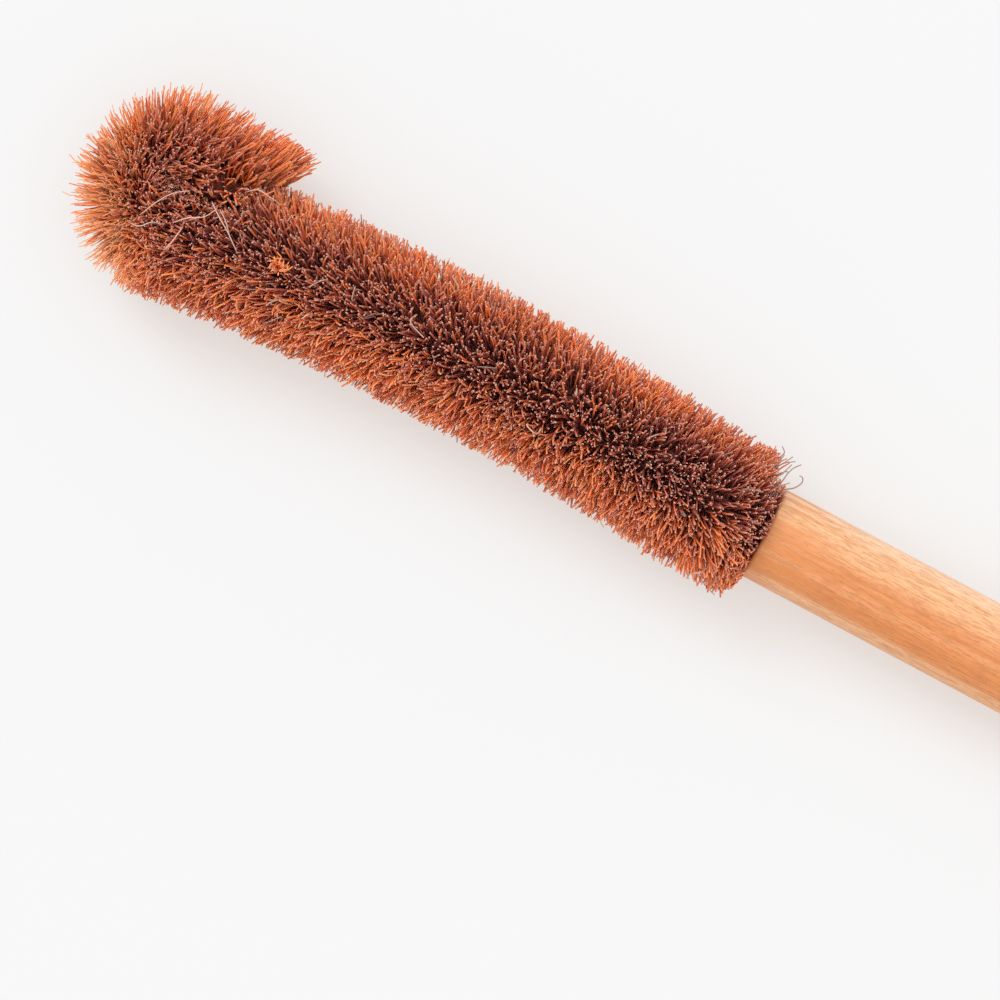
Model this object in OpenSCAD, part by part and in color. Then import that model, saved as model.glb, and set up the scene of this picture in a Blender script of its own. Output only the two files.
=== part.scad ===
// Bottle brush: tufts of coir caught in a twisted wire, bent to a hook at the tip,
// on a turned wooden handle. Millimetres. The origin is the middle of the grip, on the
// handle's axis. +X points out of the handle's free end, and the hook lies flat in the
// XY plane, as the brush does on a table.

/* [Handle] */
// Diameter of the turned handle
handle_d = 24; // [18:0.5:32]
// Length of the handle
handle_l = 150; // [90:1:200]
// Radius of the edge next to the coir
front_round = 1; // [0.5:0.25:4]
// Radius of the edge at the free end
end_round = 8; // [3:0.5:9]

/* [Wire] */
// Diameter of the wire, which is folded double and twisted
wire_d = 2.2; // [1.6:0.1:3]
// Length along the brush in which the two strands turn once
twist_pitch = 14; // [10:0.5:22]
// Length of twisted wire that is driven into the handle
wire_in_handle = 36; // [20:1:60]
// Inside radius of the eye where the wire is folded
eye_r = 0.3; // [0.2:0.05:0.6]

/* [Bends] */
// Length of the shaft from the handle to the start of the hook
shaft_l = 168; // [120:1:240]
// Length over which the shaft leans away from the handle's axis
neck_l = 20; // [10:1:30]
// Angle by which it leans
neck_turn = 5; // [0:0.5:8]
// Angle of the shallow bow that follows
bow_turn = 12.5; // [0:0.5:14]
// Radius of the hook, to the middle of the wire
hook_r = 7.5; // [7:0.5:16]
// Angle of the hook
hook_turn = 188; // [150:1:190]
// Length of the straight end after the hook
end_l = 17; // [10:1:24]

/* [Coir] */
// Diameter over the longest tufts
coir_d = 38.5; // [28:0.5:46]
// Length of a tuft outside the dense middle
tuft_l = 8; // [3:0.5:9]
// Share by which the shortest tufts are shorter than the longest
tuft_uneven = 0.12; // [0:0.01:0.2]
// Length beside the handle over which the tufts grow to their full length
front_taper = 6; // [1:0.5:12]
// Spacing of the tufts along the wire
tuft_pitch = 3; // [2.8:0.1:5]
// Tufts in one turn round the wire
tufts_round = 24; // [16:8:24]
// Angle by which the tufts lean towards the tip, growing from none at the handle
tuft_lean = 30; // [0:1:36]
// How far the tufts under the brush are bent back where it lies on them
tuft_bent = 1.2; // [0.4:0.1:2.4]
// Angle by which the last tufts fan out over the end of the wire
fan_lean = 32; // [0:1:40]
// Thickness of coir past the end of the wire
end_cover = 1.5; // [1:0.1:3]

/* [Fits] */
// Clearance round the wire, in its hole in the handle and in the coir
wire_clearance = 0.12; // [0.08:0.02:0.3]
// Clearance between the coir and the handle's face
seat_clearance = 0.3; // [0.1:0.05:0.5]
// Width of the slit where the hook's coir lies against the shaft's
hook_slit = 1; // [0.6:0.1:2]

/* [Hidden] */
$fn = 96;

// Colours of the wood, the wire and the coir
wood_colour = [0.92, 0.64, 0.42];
wire_colour = [0.66, 0.67, 0.68];
coir_colour = [0.59, 0.30, 0.18];

// Cuts run this far past the face that they open
over = 1;

// Facets of the wire
wire_sides = 6;
steps_per_turn = 8;
fold_steps = 6;

// The two strands lie side by side, just clear of each other on every facet, and open to
// an eye at the fold
strand_r = wire_d / 2;
strand_gap = 0.04;
strand_offset = (strand_r + strand_gap / 2) / cos(180 / steps_per_turn);
eye_offset = strand_r + eye_r;
eye_opening = twist_pitch / 4;

// The handle's face on the coir's side, and the hole that holds the wire
front_x = -handle_l / 2;
bore_r = strand_offset + strand_r + wire_clearance;
bore_l = wire_in_handle + strand_r + wire_clearance;

// The middle of the twisted wire starts at the handle's face, heading for -X.
// Each run is its length and the angle it turns through.
hook_l = hook_r * hook_turn * PI / 180;
runs = [
    [neck_l, -neck_turn],
    [shaft_l - neck_l, bow_turn],
    [hook_l, -hook_turn],
    [end_l, 0]
];
hook_start = shaft_l;
hook_stop = shaft_l + hook_l;
wire_stop = hook_stop + end_l;

// One step of the route: from the place and heading [x, y, angle], along an arc
function arc_step(at, length, turn) =
    let (heading = at[2], next = heading + turn)
    turn == 0
        ? [at[0] + length * cos(heading), at[1] + length * sin(heading), heading]
        : let (radius = length / (turn * PI / 180))
            [
                at[0] + radius * (sin(next) - sin(heading)),
                at[1] - radius * (cos(next) - cos(heading)),
                next
            ];

// The place and heading at a distance s from the handle's face. Inside the handle s is
// below 0, and past the last run the route goes straight on.
function route(s, run = 0, at = [front_x, 0, 180]) =
    s < 0 ? arc_step(at, s, 0)
    : run == len(runs) ? arc_step(at, s, 0)
    : s <= runs[run][0] ? arc_step(at, s, runs[run][1] * s / runs[run][0])
    : route(s - runs[run][0], run + 1, arc_step(at, runs[run][0], runs[run][1]));

function unit(v) = v / norm(v);
function ease(x) = let (t = min(1, max(0, x))) t * t * (3 - 2 * t);

// The direction along the route, and the one that points to the inside of the hook
function ahead(at) = [cos(at[2]), sin(at[2]), 0];
function inward(at) = [sin(at[2]), -cos(at[2]), 0];
function outward_at(at, angle) = cos(angle) * inward(at) + [0, 0, sin(angle)];

// Faces of a tube of rings with the same number of points each
function tube_faces(rings, sides) = [
    for (i = [0 : rings - 2], j = [0 : sides - 1])
        let (
            a = i * sides + j,
            b = i * sides + (j + 1) % sides,
            c = a + sides,
            d = b + sides
        )
        each [[a, c, b], [b, c, d]]
];

module handle() {
    color(wood_colour)
    rotate([0, 90, 0])
    difference() {
        translate([0, 0, front_x])
        rotate_extrude()
        handle_profile();
        translate([0, 0, front_x - over])
        cylinder(r = bore_r, h = bore_l + over);
    }
}

// Half of the handle's outline, with its axis along Y here
module handle_profile() {
    intersection() {
        square([handle_d / 2, handle_l]);
        union() {
            translate([0, front_round])
            square([handle_d / 2, handle_l - front_round - end_round]);
            rounded_end(front_round, front_round);
            rounded_end(end_round, handle_l - end_round);
        }
    }
}

module rounded_end(round, height) {
    translate([0, height - round])
    square([handle_d / 2 - round, 2 * round]);
    translate([handle_d / 2 - round, height])
    circle(round);
}

// Where the strands end and the fold begins
fold_s = wire_stop - eye_offset - strand_r;
nudge = 0.05;
wire_steps = round((fold_s + wire_in_handle) / twist_pitch * steps_per_turn);

function strand_offset_at(s) =
    strand_offset + (eye_offset - strand_offset) * ease(1 - (fold_s - s) / eye_opening);

// The fold lies flat, because the twist is counted back from it
function twist(s) = 360 * (s - fold_s) / twist_pitch;

function strand_point(s, side) =
    let (at = route(s))
    [at[0], at[1], 0] + strand_offset_at(s) * outward_at(at, twist(s) + side);

// A ring of the wire round a point, square to the way that the wire runs there
function wire_ring(middle, along) =
    let (up = unit([0, 0, 1] - along[2] * along), across = cross(along, up))
    [
        for (k = [0 : wire_sides - 1])
            let (angle = 360 * k / wire_sides)
            middle + strand_r * (cos(angle) * up + sin(angle) * across)
    ];

function strand_ring(s, side, sense) =
    wire_ring(strand_point(s, side), sense * unit(strand_point(s + nudge, side) - strand_point(s - nudge, side)));

function fold_ring(turn) =
    let (at = route(fold_s), outward = outward_at(at, 0))
    wire_ring(
        [at[0], at[1], 0] + eye_offset * (cos(turn) * outward + sin(turn) * ahead(at)),
        cos(turn) * ahead(at) - sin(turn) * outward
    );

module wire() {
    start_s = -wire_in_handle;
    step = (fold_s - start_s) / wire_steps;
    points = [
        for (i = [0 : wire_steps - 1]) each strand_ring(start_s + i * step, 0, 1),
        for (i = [0 : fold_steps]) each fold_ring(180 * i / fold_steps),
        for (i = [wire_steps - 1 : -1 : 0]) each strand_ring(start_s + i * step, 180, -1)
    ];
    rings = len(points) / wire_sides;
    color(wire_colour)
    polyhedron(
        points,
        [
            [for (k = [0 : wire_sides - 1]) k],
            [for (k = [wire_sides - 1 : -1 : 0]) (rings - 1) * wire_sides + k],
            each tube_faces(rings, wire_sides)
        ]
    );
}

// The coir is one mass: a dense middle round the wire, with a tuft on each of its cells
coir_start = seat_clearance;
coir_stop = wire_stop + end_cover;
coir_rows = round((coir_stop - coir_start) / tuft_pitch);
row_l = (coir_stop - coir_start) / coir_rows;
coir_r = coir_d / 2;
middle_r = coir_r - tuft_l;
channel_sides = 8;
chord_sag = row_l * row_l / (8 * hook_r);
channel_r = (eye_offset + strand_r + wire_clearance + chord_sag) / cos(180 / channel_sides);
channel_stop = wire_stop + wire_clearance;
notch_gap = 1.5;
notch_slope = 3;

// How far the coir reaches towards the inside of the hook before it meets the coir of
// the other leg, or the middle of the bend
function inner_reach(s) =
    let (
        from_hook = max(hook_start - s, s - hook_stop, 0),
        leg = coir_stop - hook_stop + notch_gap,
        past_leg = s < hook_start ? max(0, from_hook - leg) : 0
    )
    hook_r - hook_slit / 2 - from_hook * tan(max(0, hook_turn - 180) / 2) + past_leg * notch_slope;

function within_hook(radius, s, angle, share) =
    cos(angle) <= 0.01 ? radius : min(radius, share * inner_reach(s) / cos(angle));

function fan(s, angle) = fan_lean * ease((s - hook_stop) / end_l) * max(0, -cos(angle));

function coir_point(s, angle, radius) =
    let (at = route(s), tilt = fan(s, angle))
    [at[0], at[1], 0] + radius * (cos(tilt) * outward_at(at, angle) + sin(tilt) * ahead(at));

// The tufts lean less into the bend, and not at all on its inside or beside its other leg
function lean(s, angle) =
    let (
        along_shaft = min(1, s / hook_start),
        before_bend = 1 - ease((s - hook_start + middle_r) / coir_r),
        inside = ease(3 * cos(angle)) * ease((s - hook_start + end_l) / coir_r + 1.5)
    )
    tuft_lean * along_shaft * before_bend * (1 - inside);

// The brush lies on tufts that are bent back to one height
function above_table(radius, angle) =
    sin(angle) < -0.1 ? min(radius, (coir_r - tuft_bent) / -sin(angle)) : radius;

// The tufts beside the handle are shorter, but all stand out of the dense middle
function trimmed(length, s) =
    max(middle_r + 0.5, length - 0.7 * tuft_l * max(0, 1 - s / front_taper));

function tip_point(s, angle, length) =
    let (radius = above_table(within_hook(trimmed(length, s), s, angle, 1), angle))
    coir_point(s, angle, radius) + max(0, radius - middle_r) * tan(lean(s, angle)) * ahead(route(s));

// Every second row is turned by half a tuft
function row_angle(row, j) = 360 / tufts_round * (j + (row % 2) / 2);

// Random lengths and leans of the tufts, the same each time
tufts = coir_rows * tufts_round;
tuft_shorter = rands(0, tuft_uneven, tufts, 11);
tuft_aside = rands(-0.25, 0.25, tufts, 23);
tuft_along = rands(-0.25, 0.25, tufts, 37);

module coir() {
    middle_points = [
        for (i = [0 : coir_rows], j = [0 : tufts_round - 1])
            let (s = coir_start + i * row_l, angle = row_angle(i, j))
            coir_point(s, angle, within_hook(middle_r, s, angle, 0.75))
    ];
    tip_points = [
        for (i = [0 : coir_rows - 1], j = [0 : tufts_round - 1])
            let (
                k = i * tufts_round + j,
                s = coir_start + (i + 0.5 + tuft_along[k]) * row_l,
                angle = 360 / tufts_round * (j + 0.75 + tuft_aside[k])
            )
            tip_point(s, angle, coir_r * (1 - tuft_shorter[k]))
    ];
    channel_points = [
        for (i = [0 : coir_rows], j = [0 : channel_sides - 1])
            let (s = coir_start + i * (channel_stop - coir_start) / coir_rows, at = route(s))
            [at[0], at[1], 0] + channel_r * outward_at(at, 360 * j / channel_sides)
    ];
    end_point = let (at = route(coir_stop)) [at[0], at[1], 0];
    channel_end = let (at = route(channel_stop)) [at[0], at[1], 0];
    first_tip = len(middle_points);
    first_channel = first_tip + len(tip_points);
    end_at = first_channel + len(channel_points);
    last_row = coir_rows * tufts_round;
    last_channel = first_channel + coir_rows * channel_sides;
    share = tufts_round / channel_sides;
    tuft_faces = [
        for (i = [0 : coir_rows - 1], j = [0 : tufts_round - 1])
            let (
                a = i * tufts_round + j,
                b = i * tufts_round + (j + 1) % tufts_round,
                c = a + tufts_round,
                d = b + tufts_round,
                tip = first_tip + a
            )
            each [[a, tip, c], [c, tip, d], [d, tip, b], [b, tip, a]]
    ];
    channel_faces = [
        for (face = tube_faces(coir_rows + 1, channel_sides))
            [for (k = face) k + first_channel]
    ];
    seat_faces = [
        for (k = [0 : channel_sides - 1])
            let (
                here = first_channel + k,
                next = first_channel + (k + 1) % channel_sides,
                half = floor(share / 2)
            )
            each [
                for (m = [0 : share - 1])
                    [
                        m < half ? here : next,
                        (k * share + m + 1) % tufts_round,
                        k * share + m
                    ],
                [here, next, (k * share + half) % tufts_round]
            ]
    ];
    end_faces = [
        for (j = [0 : tufts_round - 1]) [end_at, last_row + j, last_row + (j + 1) % tufts_round]
    ];
    channel_end_faces = [
        for (j = [0 : channel_sides - 1])
            [end_at + 1, last_channel + (j + 1) % channel_sides, last_channel + j]
    ];
    color(coir_colour)
    polyhedron(
        concat(middle_points, tip_points, channel_points, [end_point, channel_end]),
        concat(tuft_faces, channel_faces, seat_faces, end_faces, channel_end_faces)
    );
}

handle();
wire();
coir();
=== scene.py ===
"""Finishes the coir bottle brush: its fibres, its wood and wire, and the table it lies on.

Lengths are in metres. A place in the coir is given by its distance along the wire from
the handle's face, and by an angle round the wire: 0 faces the inside of the hook, and a
quarter turn faces up.
"""

import math
import random

import bpy
from bpy.props import FloatProperty, FloatVectorProperty, PointerProperty
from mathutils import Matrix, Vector, noise


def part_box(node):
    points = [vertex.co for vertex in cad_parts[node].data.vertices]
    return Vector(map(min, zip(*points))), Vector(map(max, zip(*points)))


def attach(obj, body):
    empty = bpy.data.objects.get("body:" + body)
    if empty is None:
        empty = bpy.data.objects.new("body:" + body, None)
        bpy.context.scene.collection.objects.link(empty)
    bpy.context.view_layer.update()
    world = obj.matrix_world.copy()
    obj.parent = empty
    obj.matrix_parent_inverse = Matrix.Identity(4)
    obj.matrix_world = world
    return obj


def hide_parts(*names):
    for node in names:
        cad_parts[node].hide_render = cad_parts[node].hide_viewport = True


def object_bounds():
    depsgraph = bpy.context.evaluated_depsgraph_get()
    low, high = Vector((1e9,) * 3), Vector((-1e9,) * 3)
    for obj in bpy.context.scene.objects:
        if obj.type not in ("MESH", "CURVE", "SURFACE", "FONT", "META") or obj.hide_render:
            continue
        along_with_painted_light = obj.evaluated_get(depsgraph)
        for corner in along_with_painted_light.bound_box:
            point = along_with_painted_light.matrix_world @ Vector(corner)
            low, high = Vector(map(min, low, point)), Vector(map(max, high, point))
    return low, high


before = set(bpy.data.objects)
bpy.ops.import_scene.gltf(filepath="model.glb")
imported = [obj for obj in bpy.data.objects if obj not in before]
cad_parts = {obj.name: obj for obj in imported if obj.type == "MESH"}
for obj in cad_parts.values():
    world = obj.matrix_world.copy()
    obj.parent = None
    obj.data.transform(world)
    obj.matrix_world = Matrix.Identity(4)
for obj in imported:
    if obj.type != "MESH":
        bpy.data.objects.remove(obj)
CAD_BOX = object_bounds()
HANDLE_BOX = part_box("handle")
HANDLE_FACE = HANDLE_BOX[0].x
HANDLE_RADIUS = HANDLE_BOX[1].z
TABLE_HEIGHT = CAD_BOX[0].z

bl_info = {
    "name": "Coir Bottle Brush",
    "version": (1, 0, 0),
    "blender": (4, 5, 0),
    "location": "3D View > Sidebar > Brush",
    "description": "Grows the fibres of a coir bottle brush and finishes its wood and wire",
    "category": "Object",
}


def length_setting(name, description, default):
    """A length in metres."""
    return FloatProperty(name=name, description=description, default=default, unit="LENGTH")


def angle_setting(name, description, degrees):
    """An angle, given in degrees."""
    return FloatProperty(
        name=name, description=description, default=math.radians(degrees), subtype="ANGLE"
    )


def number_setting(name, description, default):
    """A number without a unit."""
    return FloatProperty(name=name, description=description, default=default)


def colour_setting(name, description, default):
    """A colour, given as its red, green and blue."""
    return FloatVectorProperty(
        name=name, description=description, default=default, subtype="COLOR"
    )


class WireRoute(bpy.types.PropertyGroup):
    """The way that the twisted wire runs, as the solids have it"""

    shaft_length: length_setting("Shaft", "Length from the handle to the hook", 0.168)
    neck_length: length_setting("Neck", "Length over which the shaft leans away", 0.02)
    neck_turn: angle_setting("Neck turn", "Angle by which it leans", 5)
    bow_turn: angle_setting("Bow", "Angle of the shallow bow", 12.5)
    hook_radius: length_setting("Hook radius", "Radius to the middle of the wire", 0.0075)
    hook_turn: angle_setting("Hook turn", "Angle of the hook", 188)
    end_length: length_setting("End", "Length of the straight end after the hook", 0.017)
    end_cover: length_setting("End cover", "Coir past the end of the wire", 0.0015)


class CoirFibres(bpy.types.PropertyGroup):
    """The sizes and colours of the coir"""

    radius: length_setting("Radius", "From the wire to the longest tips", 0.0197)
    root: length_setting("Root", "Where the fibres begin, inside the dense middle", 0.0062)
    thickness: length_setting("Thickness", "Half the thickness of a fibre", 0.00031)
    uneven: number_setting("Unevenness", "Share by which the shortest are shorter", 0.28)
    clumps: number_setting("Clumps", "How far neighbours lean together, to their length", 0.42)
    curl: number_setting("Curl", "How far each strays on its own, to its length", 0.24)
    lean_at_handle: angle_setting("Lean at the handle", "Towards the tip", -3)
    lean_at_hook: angle_setting("Lean at the hook", "Towards the tip", 34)
    lean_round_hook: angle_setting("Lean round the hook", "Towards the tip", 7)
    fan: angle_setting("Fan", "Lean of the last fibres over the end", 25)
    # Root: painted shade, the darkness deep in the coir between the fibres; the core takes it too
    painted_root_shade: colour_setting("Root", "Colour deep in the coir", (0.25, 0.07, 0.06))
    dark_colour: colour_setting("Dark fibres", "Colour of the darkest", (0.37, 0.085, 0.062))
    middle_colour: colour_setting("Middle fibres", "Colour of most", (1.0, 0.23, 0.06))
    bright_colour: colour_setting("Bright fibres", "Colour of the brightest", (1.0, 0.36, 0.12))
    pale_colour: colour_setting("Pale fibres", "Colour of the few palest", (1.0, 0.46, 0.22))
    # Worn tips: partly real wear, partly a painted sheen on the tips
    worn_and_sheen_colour: colour_setting("Worn tips", "Colour towards the tips", (0.75, 0.34, 0.23))
    cut_colour: colour_setting("Cut ends", "Colour of the cut ends", (0.6, 0.35, 0.28))
    stray_colour: colour_setting("Strays", "Colour of the loose pale fibres", (0.9, 0.56, 0.42))
    stray_dark_colour: colour_setting(
        "Dark strays", "Colour of those by the handle", (0.3, 0.2, 0.17)
    )


class HandleWood(bpy.types.PropertyGroup):
    """The colours of the handle"""

    pale: colour_setting("Pale grain", "Colour between the lines", (0.7, 0.4, 0.21))
    deep: colour_setting("Deep grain", "Colour of the broad bands", (0.59, 0.215, 0.066))
    line: colour_setting("Fine lines", "Colour of the fine dark lines", (0.4, 0.13, 0.04))
    # Bleached side: a painted highlight on the side of the handle at positive y, which the lamp
    # lights
    painted_highlight_side: colour_setting(
        "Bleached side", "Colour of the side towards the hook's end", (0.88, 0.62, 0.42)
    )
    # Worn side: painted light bounced up from the table, on the side of the handle at negative y
    paled: colour_setting("Worn side", "Colour of the side away from it", (0.88, 0.5, 0.27))


class TableAndLight(bpy.types.PropertyGroup):
    """The table, the light and the camera"""

    table: colour_setting("Table", "Colour of the table", (0.9, 0.88, 0.86))
    open_table: colour_setting("Table in the picture", "Its colour as seen", (0.47, 0.625, 0.705))
    glow: colour_setting("Shadow", "Colour that lightens the shadows", (1.1, 0.9, 0.8))
    sky: number_setting("Room light", "Strength of the even light", 0.5)
    overhead: number_setting("Overhead light", "Strength of the light from above", 1.48)
    lamp: number_setting("Lamp", "Strength of the soft main light", 1.5)
    whiteness: number_setting("Whiteness", "How far the table's shadows are faded", 0.55)
    backdrop: number_setting("Background", "Brightness of the plain background", 0.95)
    distance: length_setting("Camera", "Height above the wire", 0.75)


def runs(route):
    """Each run of the wire from the handle's face on: its length and the angle it turns."""
    return (
        (route.neck_length, -route.neck_turn),
        (route.shaft_length - route.neck_length, route.bow_turn),
        (route.hook_radius * route.hook_turn, -route.hook_turn),
        (route.end_length + route.end_cover, 0.0),
    )


# Distance between the points of the wire's line that the fibres grow on
WIRE_STEP = 0.0005


def wire_points(route, step):
    """Points along the middle of the wire, from the handle's face to the coir's end."""
    x = HANDLE_FACE
    y = 0.0
    heading = math.pi
    points = [Vector((x, y, 0))]
    for length, turn in runs(route):
        steps = math.ceil(length / step)
        half = turn / steps / 2
        chord = length / steps
        for _ in range(steps):
            heading += half
            x += chord * math.cos(heading)
            y += chord * math.sin(heading)
            heading += half
            points.append(Vector((x, y, 0)))
    return points


def find(sockets, key):
    """A socket by its place, or by its name among those that the node has in use."""
    if isinstance(key, int):
        return sockets[key]
    return next(s for s in sockets if s.enabled and key in (s.name, s.identifier))


class Field:
    """A socket whose sums are written as Python expressions."""

    def __init__(self, graph, socket):
        self.graph = graph
        self.socket = socket

    def also(self, name):
        """Another result of the same node."""
        return Field(self.graph, find(self.socket.node.outputs, name))

    def __add__(self, other):
        return self.graph.maths("ADD", self, other)

    def __radd__(self, other):
        return self.graph.maths("ADD", other, self)

    def __sub__(self, other):
        return self.graph.maths("SUBTRACT", self, other)

    def __rsub__(self, other):
        return self.graph.maths("SUBTRACT", other, self)

    def __mul__(self, other):
        return self.graph.maths("MULTIPLY", self, other)

    def __rmul__(self, other):
        return self.graph.maths("MULTIPLY", other, self)

    def __truediv__(self, other):
        return self.graph.maths("DIVIDE", self, other)

    def __pow__(self, other):
        return self.graph.maths("POWER", self, other)

    def __abs__(self):
        return self.graph.maths("ABSOLUTE", self)

    def at_least(self, other):
        """The larger of the two."""
        return self.graph.maths("MAXIMUM", self, other)

    def at_most(self, other):
        """The smaller of the two."""
        return self.graph.maths("MINIMUM", self, other)

    def square_root(self):
        """Its square root."""
        return self.graph.maths("SQRT", self)

    def sine(self):
        """Its sine, as an angle."""
        return self.graph.maths("SINE", self)

    def cosine(self):
        """Its cosine, as an angle."""
        return self.graph.maths("COSINE", self)

    def tangent(self):
        """Its tangent, as an angle."""
        return self.graph.maths("TANGENT", self)


def is_vector(value):
    """Whether a value is a vector, and not a number."""
    if isinstance(value, Field):
        return value.socket.type == "VECTOR"
    return isinstance(value, (tuple, Vector))


class Graph:
    """A node tree that is written as calls."""

    def __init__(self, tree):
        self.tree = tree

    def node(self, kind, settings=None, sockets=None, result=0):
        """Adds a node, sets it, gives its sockets their values or links, and gives a result."""
        node = self.tree.nodes.new(kind)
        for name, value in (settings or {}).items():
            if name == "stops":
                self.fill_ramp(node.color_ramp, value)
            else:
                setattr(node, name, value)
        for key, value in (sockets or {}).items():
            socket = find(node.inputs, key)
            if isinstance(value, Field):
                self.tree.links.new(value.socket, socket)
            else:
                socket.default_value = value
        if not node.outputs:
            return None
        return Field(self, find(node.outputs, result))

    def fill_ramp(self, ramp, stops):
        """Sets the stops of a colour ramp, each a place and a colour."""
        while len(ramp.elements) < len(stops):
            ramp.elements.new(1.0)
        for element, (place, colour) in zip(ramp.elements, stops):
            element.position = place
            element.color = (*colour, 1.0)

    def maths(self, operation, a, b=0.0):
        """A sum of two numbers, two vectors, or a vector and a number to scale it by."""
        if not (is_vector(a) or is_vector(b)):
            return self.node("ShaderNodeMath", {"operation": operation}, {0: a, 1: b})
        if is_vector(a) and is_vector(b):
            return self.node("ShaderNodeVectorMath", {"operation": operation}, {0: a, 1: b})
        if is_vector(b):
            a, b = b, a
        return self.node("ShaderNodeVectorMath", {"operation": "SCALE"}, {0: a, "Scale": b})

    def dot(self, a, b):
        """How far one vector reaches along another."""
        return self.node(
            "ShaderNodeVectorMath", {"operation": "DOT_PRODUCT"}, {0: a, 1: b}, "Value"
        )

    def length(self, vector):
        """How long a vector is."""
        return self.node("ShaderNodeVectorMath", {"operation": "LENGTH"}, {0: vector}, "Value")

    def cross(self, a, b):
        """The vector square to two others."""
        return self.node("ShaderNodeVectorMath", {"operation": "CROSS_PRODUCT"}, {0: a, 1: b})

    def apart(self, vector):
        """The x, y and z of a vector."""
        x = self.node("ShaderNodeSeparateXYZ", None, {0: vector})
        return x, x.also("Y"), x.also("Z")

    def together(self, x, y, z):
        """A vector from its x, y and z."""
        return self.node("ShaderNodeCombineXYZ", None, {0: x, 1: y, 2: z})

    def step(self, value, low, high, to_low=0.0, to_high=1.0):
        """Goes smoothly from one value to another while the given one goes from low to high."""
        return self.node(
            "ShaderNodeMapRange",
            {"interpolation_type": "SMOOTHSTEP"},
            {"Value": value, 1: low, 2: high, 3: to_low, 4: to_high},
        )

    def mix(self, factor, a, b):
        """Mixes two colours."""
        return self.node(
            "ShaderNodeMix", {"data_type": "RGBA"}, {"Factor": factor, "A": a, "B": b}, "Result"
        )

    def noise(self, place, scale, detail=2.0, roughness=0.5, result="Fac"):
        """Soft random patches, about 1 / scale across."""
        return self.node(
            "ShaderNodeTexNoise",
            None,
            {"Vector": place, "Scale": scale, "Detail": detail, "Roughness": roughness},
            result,
        )

    def bump(self, height, strength, distance):
        """Shading as if the surface rose and fell by a distance."""
        return self.node(
            "ShaderNodeBump", None, {"Strength": strength, "Distance": distance, "Height": height}
        )

    def store(self, geometry, name, value, kind="FLOAT", domain="POINT"):
        """Stores a value on a geometry under a name."""
        return self.node(
            "GeometryNodeStoreNamedAttribute",
            {"data_type": kind, "domain": domain},
            {"Geometry": geometry, "Name": name, "Value": value},
        )

    def stored(self, name):
        """A number that was stored on a geometry."""
        return self.node("GeometryNodeInputNamedAttribute", {"data_type": "FLOAT"}, {"Name": name})


# What the tree that grows the fibres is given, by kind
FIBRE_INPUTS = {
    "Int": ("Fibres", "Points", "Seed"),
    "Float": (
        "From",
        "To",
        "Root radius",
        "Coir radius",
        "Thickness",
        "Unevenness",
        "Clumps",
        "Curl",
        "Lean at handle",
        "Lean at hook",
        "Lean round hook",
        "Fan",
        "Hook start",
        "Hook stop",
        "Coir stop",
        "Hook radius",
        "Half turn excess",
        "Table",
        "Handle face",
        "Handle radius",
    ),
    "Material": ("Material",),
}

# Angle round the wire at which the coir parts, just short of straight up
PARTING_ANGLE = 1.36

# Sizes of the fibres' own irregularities
ROOT_SCATTER = 0.0006
LONGEST_EXCESS = 0.0016
LIFTED_TIPS = 0.0008

# How far the coir stands out past the handle where they meet, and how far it gives way there
OVER_HANDLE = 0.002
MOST_CLEAR = 0.0035

# Distance from the handle at which the fibres lean in full
FULL_LEAN_AT = 0.15

# Coir past the tip of the hook's leg that is still pressed by it
PAST_LEG = 0.0015


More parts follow.
